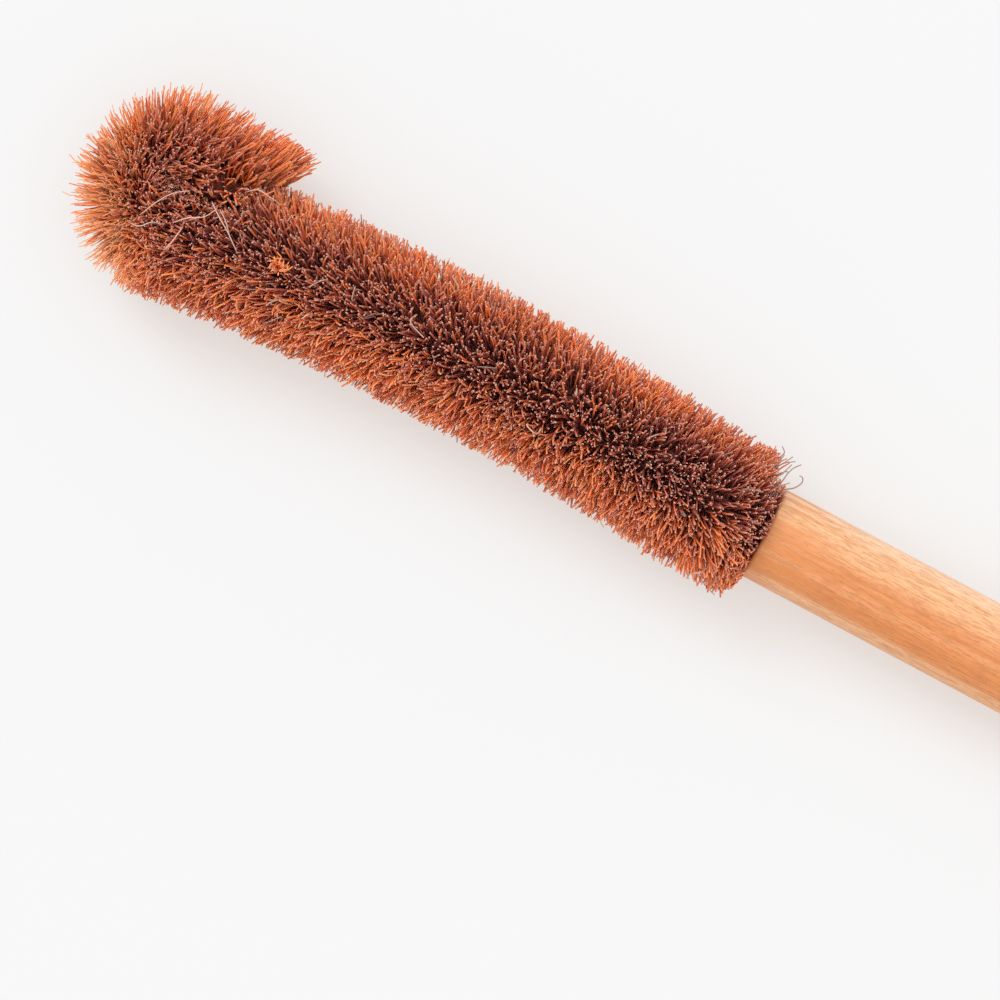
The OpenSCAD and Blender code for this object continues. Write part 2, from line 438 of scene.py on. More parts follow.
def fibre_tree():
    """The node tree that grows fibres from the wire along a stretch of it."""
    tree = bpy.data.node_groups.new("Coir fibres", "GeometryNodeTree")
    tree.interface.new_socket("Wire", in_out="INPUT", socket_type="NodeSocketGeometry")
    tree.interface.new_socket("Fibres", in_out="OUTPUT", socket_type="NodeSocketGeometry")
    for kind, names in FIBRE_INPUTS.items():
        for name in names:
            tree.interface.new_socket(name, in_out="INPUT", socket_type="NodeSocket" + kind)
    graph = Graph(tree)
    wire_mesh = graph.node("NodeGroupInput", result="Wire")

    def given(name):
        return wire_mesh.also(name)

    def chance(low, high, salt, kind="FLOAT"):
        return graph.node(
            "FunctionNodeRandomValue",
            {"data_type": kind},
            {"Min": low, "Max": high, "ID": fibre, "Seed": given("Seed") + salt},
            "Value",
        )

    def direction(salt):
        return chance((-1, -1, -1), (1, 1, 1), salt, "FLOAT_VECTOR")

    # Every fibre is a run of points, from its root at 0 to its tip at 1, closer near the tip
    points = graph.node(
        "GeometryNodePoints", None, {"Count": given("Fibres") * given("Points")}, "Points"
    )
    index = graph.node("GeometryNodeInputIndex")
    fibre = graph.maths("FLOOR", (index + 0.5) / given("Points"))
    from_tip = 1 - (index - fibre * given("Points")) / (given("Points") - 1)
    along = 1 - from_tip.at_least(0) ** 1.5

    # Which part of the coir it belongs to, each share going from 0 to 1 along the wire
    distance = chance(given("From"), given("To"), 1)
    past_start = distance - given("Hook start")
    before_start = given("Hook start") - distance
    past_stop = distance - given("Hook stop")
    end_length = given("Coir stop") - given("Hook stop")
    round_hook = graph.step(past_start, -0.011, 0.005)
    spread = graph.step(past_stop / end_length, 0, 1)
    beside_leg = graph.step(past_start + end_length, -0.004, 0.004)
    by_face = graph.step(distance, 0.0062, 0.0035)

    # Where it leaves the wire, with more of them on the outside where the inside is cramped
    angle = chance(0, 2 * math.pi, 2)
    crowded_by_leg = 0.65 * beside_leg * (0.5 + 0.5 * angle.cosine()) * (1 - spread)
    crowding = crowded_by_leg + 0.9 * spread + 0.8 * by_face
    angle = angle + angle.sine() * crowding
    wire = graph.node("GeometryNodeMeshToCurve", None, {0: wire_mesh})
    place = graph.node(
        "GeometryNodeSampleCurve",
        {"mode": "LENGTH", "data_type": "FLOAT"},
        {"Curves": wire, "Length": distance},
        "Position",
    )
    ahead = place.also("Tangent")
    up = (0.0, 0.0, 1.0)
    inward = graph.cross(ahead, up)
    facing_in = angle.cosine()
    facing_up = angle.sine()
    outward = inward * facing_in + graph.together(0.0, 0.0, facing_up)
    outside = graph.step(facing_in, 0.3, -0.3)

    # The parting along the top, where one looks down at the roots
    top_of_shaft = graph.step(abs(angle - PARTING_ANGLE), 0.8, 0.3)
    rim = graph.step(past_start, 0.012, 0.021, -0.1, -0.62)
    top_of_hook = graph.step(facing_in - rim, -0.14, 0.08) * graph.step(facing_up, 0.0, 0.4)
    top_of_hook = top_of_hook * (1 - spread)
    parting = top_of_shaft + (top_of_hook - top_of_shaft) * round_hook

    # How far it reaches from the wire
    root = given("Root radius") + chance(-ROOT_SCATTER, ROOT_SCATTER, 3)
    shorter = chance(0, 1, 4)
    past_apex = abs(distance - 0.5 * (given("Hook start") + given("Hook stop")))
    cut_at_apex = 0.12 * graph.step(past_apex, 0.011, 0.001)
    cut_by_leg = 0.22 * beside_leg * graph.step(facing_in, 0.1, 0.7)
    cut_by_face = 0.3 * by_face * graph.step(facing_in, 0, 0.5)
    tip = given("Coir radius") * (1 - given("Unevenness") * shorter * (0.4 + 0.6 * shorter))
    tip = tip * (1 - cut_at_apex) * (1 - cut_by_leg) * (1 - cut_by_face)
    left_long = graph.step(chance(0, 1, 22), 0.86, 1.0, 0, LONGEST_EXCESS)
    tip = tip + left_long * (0.5 + 0.5 * round_hook)
    taper = given("Handle radius") + OVER_HANDLE + distance * chance(0.85, 1.15, 17)
    tip = tip.at_most(taper)
    length = tip - root

    # How it leans along the wire, fans out over the end, and lies back off the handle
    on_shaft = ((distance / FULL_LEAN_AT).at_most(1) * (math.pi / 2)).sine()
    more_lean = given("Lean at hook") - given("Lean at handle")
    shaft_lean = given("Lean at handle") + more_lean * on_shaft
    inside_bend = graph.step(facing_in, 0, 0.35) * graph.step(past_start, -0.028, -0.01)
    hook_lean = given("Lean round hook") * outside * round_hook * (1 - spread)
    lean = shaft_lean * (1 - round_hook) * (1 - inside_bend) + hook_lean
    tilt = given("Fan") * spread * (0 - facing_in).at_least(0)
    tilt = tilt + graph.step(past_stop / end_length, 0.85, 1.0) * chance(0, 0.15, 5)
    reach = root + length * along
    reach_out = reach * tilt.cosine()
    straight = outward * reach_out + ahead * (reach * tilt.sine())
    kept_off = 0.005 + 0.004 * graph.step(facing_in, -0.2, 0.4)
    back = (distance - kept_off).at_least(0) * graph.step(distance, 0.017, 0.0115)
    back = back * chance(0.3, 0.95, 15) * (0.75 + 0.25 * facing_up)
    clear = graph.step(distance, 0.012, 0.002) * graph.step(facing_in, 0.2, 0.8)
    clear = clear * chance(0.0, MOST_CLEAR, 19)
    forward = ahead * ((length * lean.tangent() - back + clear) * along)

    # Clumps that lean together, and the curl of each fibre by itself
    surface = place + outward * tip
    even = (0.5, 0.5, 0.5)
    broad = graph.noise(surface, 110, 1, result="Color") - even
    close = graph.noise(surface, 290, 1, result="Color") - even
    clump = broad * 0.7 + close * 1.2
    loose = graph.step(distance, 0.01, 0.13, 0.65, 1.0) * (1 - 0.6 * outside * round_hook)
    pushed = facing_up.at_least(0) * graph.step(distance, 0.01, 0.025) * (1 - round_hook)
    tangled = graph.step(facing_up, 0.35, 0.8) * (0.14 + 0.36 * beside_leg * (1 - spread))
    sway = clump * (loose * given("Clumps") * length * along**1.6)
    curl = direction(6) * (loose * given("Curl") * length * along**2.4)
    bow = direction(7) * (0.35 * given("Curl") * length * along * (1 - along) * 4)
    askew = direction(18) * (tangled * length * along) - inward * (0.25 * pushed * length * along)
    offset = straight + forward + sway + curl + bow + askew

    # All are trimmed to the same round outline
    gone_ahead = ahead * graph.dot(offset, ahead)
    square_to_wire = offset - gone_ahead
    trim = reach_out / graph.length(square_to_wire)
    offset = gone_ahead + square_to_wire * trim

    # Inside the hook the fibres meet those of the other leg and turn up or down
    from_hook = before_start.at_least(past_stop).at_least(0)
    past_leg = (before_start - end_length - PAST_LEG).at_least(0)
    room = given("Hook radius") - from_hook * given("Half turn excess").tangent()
    room = room + past_leg * 3 + chance(-0.001, 0.0018, 8)
    reach_in = graph.dot(offset, inward)
    height = graph.dot(offset, up)
    kept_in = reach_in.at_most(room)
    turned = reach_in * reach_in + height * height - kept_in * kept_in
    turned = turned.at_least(0).square_root() * graph.maths("SIGN", facing_up)
    turned_share = graph.step(reach_in - kept_in, 0, 0.0005) * chance(0.8, 1, 9)
    height_change = (turned - height) * turned_share
    bent = offset + inward * (kept_in - reach_in) + graph.together(0.0, 0.0, height_change)

    # None goes through the table or the handle
    x, y, z = graph.apart(place + bent)
    lowest = given("Table") + given("Thickness") + chance(0, LIFTED_TIPS, 10) * along
    z = z.at_least(lowest)
    past_edge = (y * y + z * z).square_root() - given("Handle radius")
    over_edge = graph.step(past_edge, 0.0004, 0.001) * chance(0, 0.0012, 16)
    rounded = (past_edge - OVER_HANDLE).at_least(0) * chance(0.2, 0.9, 14)
    nearest = given("Handle face") - chance(0.0003, 0.0006, 11) + over_edge - rounded
    x = x.at_most(nearest)
    placed = graph.node(
        "GeometryNodeSetPosition", None, {"Geometry": points, "Position": graph.together(x, y, z)}
    )

    # How bright it is, from 0 to 1: it differs at random, is raised round the outside of the hook
    # as painted light, lowered along the parting as painted shade, and lower near the handle
    patches = graph.noise(surface, 60, 2)
    sunlit = outside * round_hook * (1 - parting)
    # Painted light: the fibres round the outside of the hook are made brighter
    bright = graph.step(past_start, 0.008, 0.021, 0.66, 0.36) * sunlit
    varied = chance(0.05, 0.9, 12) * (1 - 0.4 * sunlit) + (patches - 0.5) * 0.9
    darker = graph.step(chance(0, 1, 21), 0.74 + 0.05 * sunlit, 0.82 + 0.05 * sunlit)
    darker = darker * (1 - parting)
    # Painted shade: the parting along the top is made darker
    tone = varied + bright - 0.5 * parting
    tone = tone - (0.38 + 0.3 * sunlit) * darker
    tone = tone - 0.12 * graph.step(distance, 0.06, 0.01)
    tone = tone.at_least(0).at_most(1)

    # How thick it is, and how far along it the material's dark root, which is painted shade,
    # reaches: less far round the outside and over the top of the hook, as painted light, and
    # farther up the top of the shaft, as more painted shade
    thinning = (0.3 + 0.25 * sunlit) * along * along
    thick = given("Thickness") * chance(0.65, 1.3, 13) * (1 - thinning) * (1 + 0.25 * spread)
    lit_on_hook = 0.9 * sunlit * (1 - 0.6 * darker) + 0.5 * round_hook * parting
    shaded_on_shaft = 0.8 * top_of_shaft * (1 - round_hook) * along
    lit = lit_on_hook * from_tip - shaded_on_shaft
    along_with_painted_light = along + lit * (1 - along)
    for name, value in (("tone", tone), ("along", along_with_painted_light), ("thick", thick), ("fibre", fibre)):
        placed = graph.store(placed, name, value)
    stems = stems_from_points(graph, placed, index)
    stems = graph.node(
        "GeometryNodeSetMaterial", None, {"Geometry": stems, "Material": given("Material")}
    )
    graph.node("NodeGroupOutput", None, {0: stems})
    return tree


def stems_from_points(graph, placed, index):
    """Makes each run of points a thin stem with three sides."""
    lines = graph.node(
        "GeometryNodePointsToCurves",
        None,
        {0: placed, 1: graph.stored("fibre"), 2: graph.stored("along")},
    )
    ring = graph.node(
        "GeometryNodeCurvePrimitiveCircle", {"mode": "RADIUS"}, {"Resolution": 3, "Radius": 1.0}
    )
    ring = graph.store(ring, "side", index * 0.5)
    stems = graph.node(
        "GeometryNodeCurveToMesh",
        None,
        {"Curve": lines, "Profile Curve": ring, "Scale": graph.stored("thick"), "Fill Caps": True},
    )
    stems = graph.node("GeometryNodeRealizeInstances", None, {0: stems})
    u = 0.01 + 0.965 * graph.stored("tone") + 0.015 * graph.stored("side")
    v = 0.01 + 0.98 * graph.stored("along")
    return graph.store(stems, "OFBake", graph.together(u, v, 0.0), "FLOAT2", "CORNER")


def grow(name, wire, tree, values):
    """Grows fibres on the wire's line and keeps them as a plain mesh."""
    piece = bpy.data.objects.new(name, wire)
    bpy.context.scene.collection.objects.link(piece)
    modifier = piece.modifiers.new("Fibres", "NODES")
    modifier.node_group = tree
    for socket in tree.interface.items_tree:
        if socket.in_out == "INPUT" and socket.name in values:
            modifier[socket.identifier] = values[socket.name]
    graph = bpy.context.evaluated_depsgraph_get()
    mesh = bpy.data.meshes.new_from_object(piece.evaluated_get(graph), depsgraph=graph)
    piece.modifiers.remove(modifier)
    piece.data = mesh
    mesh.name = name
    return piece


def wire_line(route):
    """The middle of the wire as a mesh of edges."""
    points = wire_points(route, WIRE_STEP)
    mesh = bpy.data.meshes.new("wire_line")
    mesh.from_pydata(points, [(i, i + 1) for i in range(len(points) - 1)], [])
    return mesh


def fibre_values(route, coir, material):
    """What all fibres share, by the names of the tree's inputs."""
    hook_stop = route.shaft_length + route.hook_radius * route.hook_turn
    return {
        "Points": 5,
        "Root radius": coir.root,
        "Coir radius": coir.radius,
        "Thickness": coir.thickness,
        "Unevenness": coir.uneven,
        "Clumps": coir.clumps,
        "Curl": coir.curl,
        "Lean at handle": coir.lean_at_handle,
        "Lean at hook": coir.lean_at_hook,
        "Lean round hook": coir.lean_round_hook,
        "Fan": coir.fan,
        "Hook start": route.shaft_length,
        "Hook stop": hook_stop,
        "Coir stop": hook_stop + route.end_length + route.end_cover,
        "Hook radius": route.hook_radius,
        "Half turn excess": (route.hook_turn - math.pi) / 2,
        "Table": TABLE_HEIGHT,
        "Handle face": HANDLE_FACE,
        "Handle radius": HANDLE_RADIUS,
        "Material": material,
    }


def tube_mesh(name, lines, sides):
    """A mesh of round tubes, each along a line of points with its own radius at each."""
    vertices = []
    faces = []
    for points, radii in lines:
        first = len(vertices)
        across = None
        for i, point in enumerate(points):
            before = points[max(i - 1, 0)]
            after = points[min(i + 1, len(points) - 1)]
            ahead = (after - before).normalized()
            if across is None:
                across = ahead.orthogonal()
            across = (across - ahead * across.dot(ahead)).normalized()
            beside = ahead.cross(across)
            for k in range(sides):
                angle = 2 * math.pi * k / sides
                reach = radii[i](angle) if callable(radii[i]) else radii[i]
                out = across * math.cos(angle) + beside * math.sin(angle)
                vertices.append(point + out * reach)
        rings = len(points)
        for i in range(rings - 1):
            for k in range(sides):
                a = first + i * sides + k
                b = first + i * sides + (k + 1) % sides
                faces.append((a, b, b + sides, a + sides))
        faces.append([first + k for k in reversed(range(sides))])
        faces.append([first + (rings - 1) * sides + k for k in range(sides)])
    mesh = bpy.data.meshes.new(name)
    mesh.from_pydata(vertices, [], faces)
    mesh.shade_smooth()
    return mesh


def new_material(name):
    """An empty material and the graph of its nodes."""
    material = bpy.data.materials.new(name)
    material.use_nodes = True
    material.node_tree.nodes.clear()
    return material, Graph(material.node_tree)


def finish_material(graph, sockets):
    """Gives a material its surface."""
    surface = graph.node("ShaderNodeBsdfPrincipled", None, sockets)
    graph.node("ShaderNodeOutputMaterial", None, {"Surface": surface})


def colour(value):
    """A colour for a socket."""
    return (*value, 1.0)


def fibre_material(coir):
    """Dry coir: dark at the root with painted shade, red-brown to orange along the fibre, worn and
    with a painted sheen towards the tips, pale where it is cut.
    """
    material, graph = new_material("coir_fibre")
    tone = graph.node("ShaderNodeAttribute", {"attribute_name": "tone"}, result="Fac")
    along = graph.node("ShaderNodeAttribute", {"attribute_name": "along"}, result="Fac")
    stops = (
        (0.0, coir.dark_colour),
        (0.5, coir.middle_colour),
        (0.85, coir.bright_colour),
        (1.0, coir.pale_colour),
    )
    body = graph.node("ShaderNodeValToRGB", {"stops": stops}, {"Fac": tone}, "Color")
    # Painted shade: each fibre darkens towards its root, deep in the coir
    shaded_at_root = graph.mix(graph.step(along, 0.35, 0.82), colour(coir.painted_root_shade), body)
    # Towards their tips the fibres pale, partly from wear and partly as a painted sheen
    worn_and_sheen_tips = graph.step(along, 0.76, 0.96) * graph.step(tone, 0.5, 0.1, 0.22, 0.5)
    paled = graph.mix(worn_and_sheen_tips, shaded_at_root, colour(coir.worn_and_sheen_colour))
    tipped = graph.mix(graph.step(along, 0.992, 0.999), paled, colour(coir.cut_colour))
    finish_material(
        graph,
        {
            "Base Color": tipped,
            "Roughness": 0.55,
            "Specular IOR Level": 0.1,
            "Subsurface Weight": 0.4,
            "Subsurface Radius": (1.0, 0.4, 0.2),
            "Subsurface Scale": 0.0006,
        },
    )
    return material


def pale_fibre_material(coir):
    """The loose, thin, bleached fibres."""
    material, graph = new_material("coir_stray")
    tone = graph.node("ShaderNodeAttribute", {"attribute_name": "tone"}, result="Fac")
    body = graph.mix(tone, colour(coir.stray_dark_colour), colour(coir.stray_colour))
    finish_material(graph, {"Base Color": body, "Roughness": 0.5, "Specular IOR Level": 0.15})
    return material


def core_material(coir):
    """The dense middle of the coir, coloured dark with painted shade."""
    material, graph = new_material("coir_core")
    place = graph.node("ShaderNodeTexCoord", result="Object")
    patches = graph.noise(place, 900, 3, 0.6)
    body = graph.mix(patches, colour(coir.painted_root_shade), colour(coir.dark_colour))
    bump = graph.bump(patches, 0.8, 0.0006)
    finish_material(graph, {"Base Color": body, "Roughness": 0.8, "Normal": bump})
    return material


def wood_material(wood):
    """Light turned hardwood, its grain along the handle, both sides made paler with painted light.
    """
    material, graph = new_material("turned_wood")
    place = graph.node("ShaderNodeTexCoord", result="Object")
    bands = graph.noise(place * (12.0, 420.0, 420.0), 1.0, 3, 0.6)
    streaks = graph.noise(place * (190.0, 2300.0, 2300.0), 1.0, 4, 0.75)
    pores = graph.noise(place * (500.0, 3200.0, 3200.0), 1.0, 1, 0.5)
    x, y, _ = graph.apart(place)
    inner_grain_paled_at_lit_edge = graph.step(y + (bands - 0.5) * 0.012, 0.0045, 0.0005)
    # Painted light: near the edge at negative y the deep grain gives way to the pale, as if lit
    # from the table
    inner_grain_paled_at_lit_edge = inner_grain_paled_at_lit_edge * graph.step(y + (bands - 0.5) * 0.006, -0.0115, -0.008, 0.35, 1.0)
    banded = graph.step(bands, 0.4, 0.6)
    body = graph.mix(inner_grain_paled_at_lit_edge * 0.75 + 0.25 * banded, colour(wood.pale), colour(wood.deep))
    # Painted highlight: the side at positive y is paler
    body = graph.mix(graph.step(y, 0.0075, 0.0105) * 0.6, body, colour(wood.painted_highlight_side))
    # Painted light: the side at negative y is paler
    body = graph.mix(graph.step(y, -0.0085, -0.011) * 0.35, body, colour(wood.paled))
    rays = graph.noise(place * (11.0, 900.0, 900.0), 1.0, 3, 0.7)
    body = graph.mix(graph.step(rays, 0.5, 0.68) * inner_grain_paled_at_lit_edge * 0.4, body, colour(wood.line))
    fine = graph.step(streaks, 0.44, 0.6) * 0.5
    body = graph.mix(fine, body, colour(wood.line))
    flecks = graph.step(pores, 0.6, 0.68) * 0.45
    body = graph.mix(flecks, body, colour(wood.line))
    warm = graph.step(x, HANDLE_FACE + 0.025, HANDLE_FACE + 0.004) * banded * 0.7
    body = graph.mix(warm, body, colour(wood.deep))
    height = streaks * 0.6 - flecks
    bump = graph.bump(height, 0.25, 0.0002)
    rough = 0.42 + 0.16 * streaks
    finish_material(
        graph, {"Base Color": body, "Roughness": rough, "Specular IOR Level": 0.35, "Normal": bump}
    )
    return material


def wire_material():
    """Galvanised wire."""
    material, graph = new_material("galvanised_wire")
    place = graph.node("ShaderNodeTexCoord", result="Object")
    spangle = graph.noise(place, 1400, 2, 0.6)
    body = graph.mix(spangle, (0.42, 0.43, 0.44, 1), (0.66, 0.67, 0.68, 1))
    finish_material(graph, {"Base Color": body, "Metallic": 1.0, "Roughness": 0.25 + 0.3 * spangle})
    return material


def seen_directly(graph):
    """1 where the camera looks, also by way of a mirror or through glass, and 0 elsewhere."""
    seen = graph.node("ShaderNodeLightPath", result="Is Camera Ray")
    mirrored = seen.also("Is Glossy Ray").at_least(seen.also("Is Transmission Ray"))
    return seen.at_least(mirrored)


def table_material(stage):
    """A plain matt table top."""
    material, graph = new_material("table_top")
    seen = seen_directly(graph)
    tint = graph.mix(seen, colour(stage.table), colour(stage.open_table))
    matt = graph.node(
        "ShaderNodeBsdfPrincipled",
        None,
        {"Base Color": tint, "Roughness": 0.9, "Specular IOR Level": 0.0},
    )
    plain = graph.node("ShaderNodeEmission", None, {"Color": colour(stage.glow), "Strength": 1.0})
    faded = seen * stage.whiteness
    surface = graph.node("ShaderNodeMixShader", None, {0: faded, 1: matt, 2: plain})
    graph.node("ShaderNodeOutputMaterial", None, {"Surface": surface})
    return material


def room(stage):
    """A white room whose light comes from all round, and more of it from overhead."""
    world = bpy.data.worlds.new("room")
    world.use_nodes = True
    world.node_tree.nodes.clear()
    graph = Graph(world.node_tree)
    direction = graph.node("ShaderNodeTexCoord", result="Generated")
    _, _, up = graph.apart(direction)
    above = up.at_least(0)
    strength = stage.sky + stage.overhead * above * above
    seen = seen_directly(graph)
    strength = strength * (1 - seen) + stage.backdrop * seen
    light = graph.node("ShaderNodeBackground", None, {"Color": (1, 1, 1, 1), "Strength": strength})
    graph.node("ShaderNodeOutputWorld", None, {"Surface": light})
    return world


def set_on_brush(piece):
    """Makes a piece of coir part of the brush in place of the plain solid."""
    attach(piece, "root")
    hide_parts("coir")


def add_coir(name, mesh, material):
    """Adds a mesh to the brush as a piece of coir."""
    mesh.materials.append(material)
    piece = bpy.data.objects.new(name, mesh)
    bpy.context.scene.collection.objects.link(piece)
    set_on_brush(piece)


def give_points(mesh, name, values):
    """Gives each point of a mesh a number that its material reads."""
    mesh.attributes.new(name, "FLOAT", "POINT").data.foreach_set("value", values)


# Gap between the handle's face and the first fibres
CLEAR_OF_FACE = 0.0004

# Seeds of the stretches, farther apart than those that the tree draws for itself
FIRST_SEED = 101
SEED_STEP = 50

# The dense middle of the coir: its radius on the shaft, how much of that it loses on the hook
# and over what length, its radius at both ends, how uneven it is, and how fine its mesh is
CORE_RADIUS = 0.0082
CORE_NARROWING = 0.0024
CORE_NARROWS_OVER = 0.012
CORE_START_RADIUS = 0.0066
CORE_END_RADIUS = 0.0035
CORE_UNEVEN = 0.14
CORE_STEP = 0.0015
CORE_SIDES = 28

# Half the thickness of the wisps by the handle and of the strays laid on the hook
WISP_THICKNESS = 0.00019
LAID_THICKNESS = 0.00018

# Loose fibres that stand out by the handle, in millimetres
WISPS = (
    ((-80.9, 13.7, 9), (-80.5, 15.9, 11), (-79.9, 18.6, 12)),
    ((-80.5, 13.6, 8), (-79.7, 15.8, 10), (-78.7, 17.5, 11), (-77.8, 19.3, 11)),
    ((-80.2, 10.5, 7), (-79.4, 12.6, 9), (-78.6, 14.2, 10), (-77.4, 15.4, 10), (-76.9, 15.2, 10)),
    (
        (-78.0, 5.6, 8),
        (-78.3, 9.7, 10),
        (-77.7, 11.8, 11),
        (-77.3, 13.1, 12),
        (-77.1, 15.0, 12),
        (-76.4, 16.9, 12),
        (-75.1, 18.5, 11),
    ),
    (
        (-77.6, 8.8, 8),
        (-75.9, 11.2, 11),
        (-74.1, 12.6, 12),
        (-73.0, 14.6, 12),
        (-73.4, 15.8, 12),
        (-74.3, 15.9, 12),
    ),
    ((-79.1, 5.3, 9), (-79.2, 7.3, 11), (-79.2, 9.4, 12), (-78.7, 11.2, 12)),
    ((-77.6, 4.6, 10), (-78.2, 7.0, 12), (-77.8, 9.9, 13)),
    ((-80.4, 17.6, 7), (-79.9, 19.3, 8), (-81.1, 20.5, 8)),
    ((-78.9, 7.5, 10), (-79.4, 10.3, 12), (-79.0, 12.9, 12), (-78.0, 14.6, 11)),
    ((-80.5, 6.5, 9), (-79.0, 9.0, 12), (-77.2, 11.6, 12.5), (-75.6, 13.2, 12)),
    ((-81.5, 8.5, 8), (-79.8, 11.6, 10.5), (-78.2, 14.6, 12), (-77.2, 17.4, 12)),
    ((-79.6, 3.5, 11), (-78.2, 5.8, 13), (-76.9, 8.2, 13.4), (-75.8, 10.4, 13)),
    ((-82.0, 12.0, 7), (-80.4, 14.8, 9), (-78.8, 17.0, 10), (-76.6, 18.6, 10)),
)

# Long pale fibres that lie across the hook, in millimetres
LAID_STRAYS = (
    ((-245.1, -3.9, 17), (-242.4, 1.1, 20), (-239.8, 4.6, 20.5), (-236.9, 6.9, 19)),
    ((-237.4, -1.9, 17), (-234.1, 0.9, 20), (-230.8, 2.9, 20.5), (-229.1, 6.1, 19)),
    ((-231.2, 7.1, 17), (-227.6, 4.6, 20), (-223.8, 2.2, 20.5), (-220.0, -0.8, 19)),
    ((-228.5, 6.3, 18), (-225.6, 4.3, 20), (-222.9, 1.4, 20), (-221.4, 0.2, 18)),
    ((-225.1, 13.1, 17), (-222.5, 14.8, 19.5), (-219.1, 14.6, 20), (-216.0, 14.3, 18)),
    ((-246.8, -6.7, 17), (-243.6, -6.4, 20), (-241.2, -4.1, 20.5), (-238.7, -3.3, 18)),
    ((-236.0, -8.6, 17), (-234.9, -6.4, 20), (-234.3, -2.8, 20.5), (-234.5, -1.3, 18)),
)

# The small bright tuft on the shaft near the hook
TUFT_MIDDLE = Vector((-0.2095, 0.0007, 0.0157))
TUFT_FIBRES = 26


class BRUSH_OT_fibres(bpy.types.Operator):
    """Grows the coir fibres, one piece for each stretch of the wire"""

    bl_idname = "brush.fibres"
    bl_label = "Grow the fibres"

    def execute(self, context):
        route = context.scene.brush_route
        coir = context.scene.brush_coir
        tree = fibre_tree()
        wire = wire_line(route)
        values = fibre_values(route, coir, fibre_material(coir))
        shaft = route.shaft_length
        hook_stop = values["Hook stop"]
        stretches = (
            ("coir_by_handle", CLEAR_OF_FACE, shaft / 3, 6500),
            ("coir_mid_shaft", shaft / 3, 2 * shaft / 3, 6000),
            ("coir_far_shaft", 2 * shaft / 3, shaft, 5900),
            ("coir_on_hook", shaft, hook_stop, 2800),
            ("coir_at_end", hook_stop, values["Coir stop"], 1150),
        )
        for i, (name, start, stop, count) in enumerate(stretches):
            own = {"Fibres": count, "From": start, "To": stop, "Seed": FIRST_SEED + i * SEED_STEP}
            piece = grow(name, wire, tree, {**values, **own})
            set_on_brush(piece)
        return {"FINISHED"}


class BRUSH_OT_strays(bpy.types.Operator):
    """Lays loose pale fibres over the coir"""

    bl_idname = "brush.strays"
    bl_label = "Lay the stray fibres"

    def execute(self, context):
        route = context.scene.brush_route
        coir = context.scene.brush_coir
        tree = bpy.data.node_groups["Coir fibres"]
        wire = wire_line(route)
        values = fibre_values(route, coir, pale_fibre_material(coir))
        own = {
            "Fibres": 130,
            "Points": 9,
            "From": 0.006,
            "To": route.shaft_length - 0.03,
            "Root radius": coir.radius * 0.8,
            "Coir radius": coir.radius * 1.01,
            "Curl": 1.5,
            "Clumps": 0.5,
            "Thickness": coir.thickness * 0.75,
            "Seed": 977,
        }
        piece = grow("stray_fibres", wire, tree, {**values, **own})
        set_on_brush(piece)
        return {"FINISHED"}


class BRUSH_OT_core(bpy.types.Operator):
    """Makes the dense middle of the coir round the wire"""

    bl_idname = "brush.core"
    bl_label = "Make the core"

    def execute(self, context):
        route = context.scene.brush_route
        points = wire_points(route, CORE_STEP)[1:]

        def uneven(i, radius):
            def at_angle(angle):
                place = Vector((i * 0.45, math.cos(angle) * 1.6, math.sin(angle) * 1.6))
                return radius * (1 + CORE_UNEVEN * noise.noise(place))

            return at_angle

        radii = []
        travelled = 0.0
        for i, point in enumerate(points):
            if i:
                travelled += (point - points[i - 1]).length
            narrowed = (travelled - route.shaft_length + CORE_NARROWS_OVER) / CORE_NARROWS_OVER
            narrowed = min(max(narrowed, 0), 1)
            radii.append(uneven(i, CORE_RADIUS - CORE_NARROWING * narrowed))
        radii[0] = uneven(0, CORE_START_RADIUS)
        radii[-1] = uneven(len(points), CORE_END_RADIUS)
        mesh = tube_mesh("coir_core", [(points, radii)], CORE_SIDES)
        add_coir("coir_core", mesh, core_material(context.scene.brush_coir))
        return {"FINISHED"}


class BRUSH_OT_wisps(bpy.types.Operator):
    """Adds the few long fibres that stand out by the handle or lie across the hook"""

    bl_idname = "brush.wisps"
    bl_label = "Add the wisps"

    def execute(self, context):
        chance = random.Random(5)
        sides = 5
        lines = []
        tones = []
        for courses, thickness, tone in (
            (WISPS, WISP_THICKNESS, 0.0),
            (LAID_STRAYS, LAID_THICKNESS, 0.5),
        ):
            for course in courses:
                knots = [Vector(knot) / 1000 for knot in course]
                points = smooth_line(knots, 6)
                thick = thickness * chance.uniform(0.8, 1.2)
                radii = [thick * (1 - 0.4 * i / len(points)) for i in range(len(points))]
                lines.append((points, radii))
                tones += [tone] * (len(points) * sides)
        mesh = tube_mesh("wisps", lines, sides)
        give_points(mesh, "tone", tones)
        add_coir("wisps", mesh, bpy.data.materials["coir_stray"])
        return {"FINISHED"}


